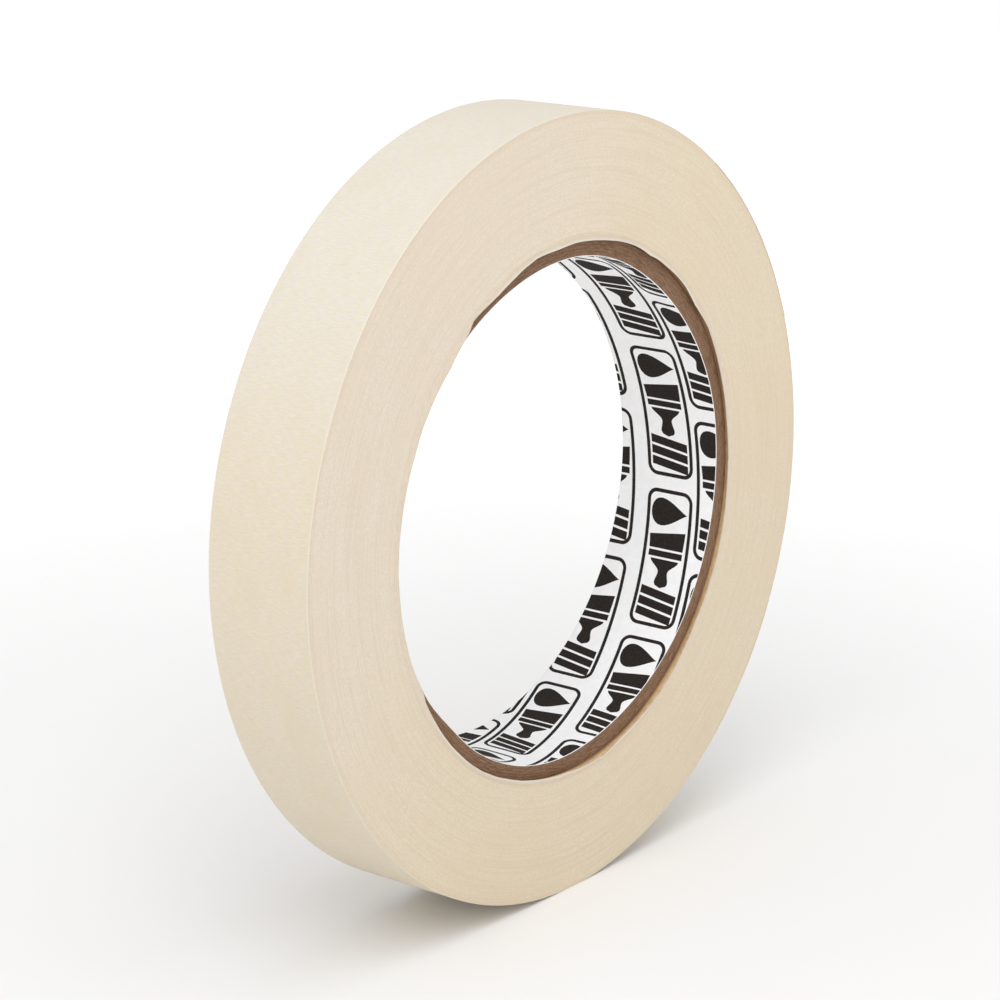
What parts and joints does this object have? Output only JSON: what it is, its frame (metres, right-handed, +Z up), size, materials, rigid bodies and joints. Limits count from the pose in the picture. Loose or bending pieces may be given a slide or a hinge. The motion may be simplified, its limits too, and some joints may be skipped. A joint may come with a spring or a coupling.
{
  "type": "masking tape roll",
  "caption": "Roll of cream crepe masking tape on a spirally wound kraft core with a printed white liner, standing on its rim, with a free end that peels.",
  "frame": {"origin": "on the axis of the core's bore, at the middle of the tape's width", "axes": "+Y along the roll's axis, towards the back, where the core stands proud; +Z up with the roll standing on its rim; +X to the right seen from the front (-Y) side"},
  "size_m": [0.1181, 0.02, 0.1182],
  "materials": {
    "tape": "matt crepe paper, slightly waxy release coat",
    "kraft_board": "matt cut kraft board with short fibres",
    "liner_paper": "smooth white paper with black printing"
  },
  "bodies": {
    "roll": {"core_liner": "liner_paper", "core_ply_1": "kraft_board", "core_ply_2": "kraft_board", "core_ply_3": "kraft_board", "core_ply_4": "kraft_board", "core_ply_5": "kraft_board", "tape_first_laps": "tape", "tape_winding": "tape", "tape_last_lap": "tape"},
    "tape_end_1": {"tape_end_1": "tape"},
    "tape_end_2": {"tape_end_2": "tape"},
    "tape_end_3": {"tape_end_3": "tape"},
    "tape_end_4": {"tape_end_4": "tape"},
    "tape_end_5": {"tape_end_5": "tape"},
    "tape_end_6": {"tape_end_6": "tape"}
  },
  "joints": [
    {"name": "tape_end_peel", "type": "hinge", "parent": "roll", "child": "tape_end_1", "pos_m": [0.03506, 0, 0.04758], "axis": [0, -1, 0], "range_deg": [0, 60]},
    {"name": "tape_end_curl_2", "type": "hinge", "parent": "tape_end_1", "child": "tape_end_2", "pos_m": [0.03953, 0, 0.04393], "axis": [0, -1, 0], "range_deg": [0, 12]},
    {"name": "tape_end_curl_3", "type": "hinge", "parent": "tape_end_2", "child": "tape_end_3", "pos_m": [0.04363, 0, 0.03986], "axis": [0, -1, 0], "range_deg": [0, 12]},
    {"name": "tape_end_curl_4", "type": "hinge", "parent": "tape_end_3", "child": "tape_end_4", "pos_m": [0.04731, 0, 0.03541], "axis": [0, -1, 0], "range_deg": [0, 12]},
    {"name": "tape_end_curl_5", "type": "hinge", "parent": "tape_end_4", "child": "tape_end_5", "pos_m": [0.05054, 0, 0.03063], "axis": [0, -1, 0], "range_deg": [0, 12]},
    {"name": "tape_end_curl_6", "type": "hinge", "parent": "tape_end_5", "child": "tape_end_6", "pos_m": [0.05329, 0, 0.02555], "axis": [0, -1, 0], "range_deg": [0, 12]}
  ],
  "couplings": [
    {"joint": "tape_end_curl_2", "follows": "tape_end_peel", "ratio": 0.2},
    {"joint": "tape_end_curl_3", "follows": "tape_end_peel", "ratio": 0.2},
    {"joint": "tape_end_curl_4", "follows": "tape_end_peel", "ratio": 0.2},
    {"joint": "tape_end_curl_5", "follows": "tape_end_peel", "ratio": 0.2},
    {"joint": "tape_end_curl_6", "follows": "tape_end_peel", "ratio": 0.2}
  ]
}
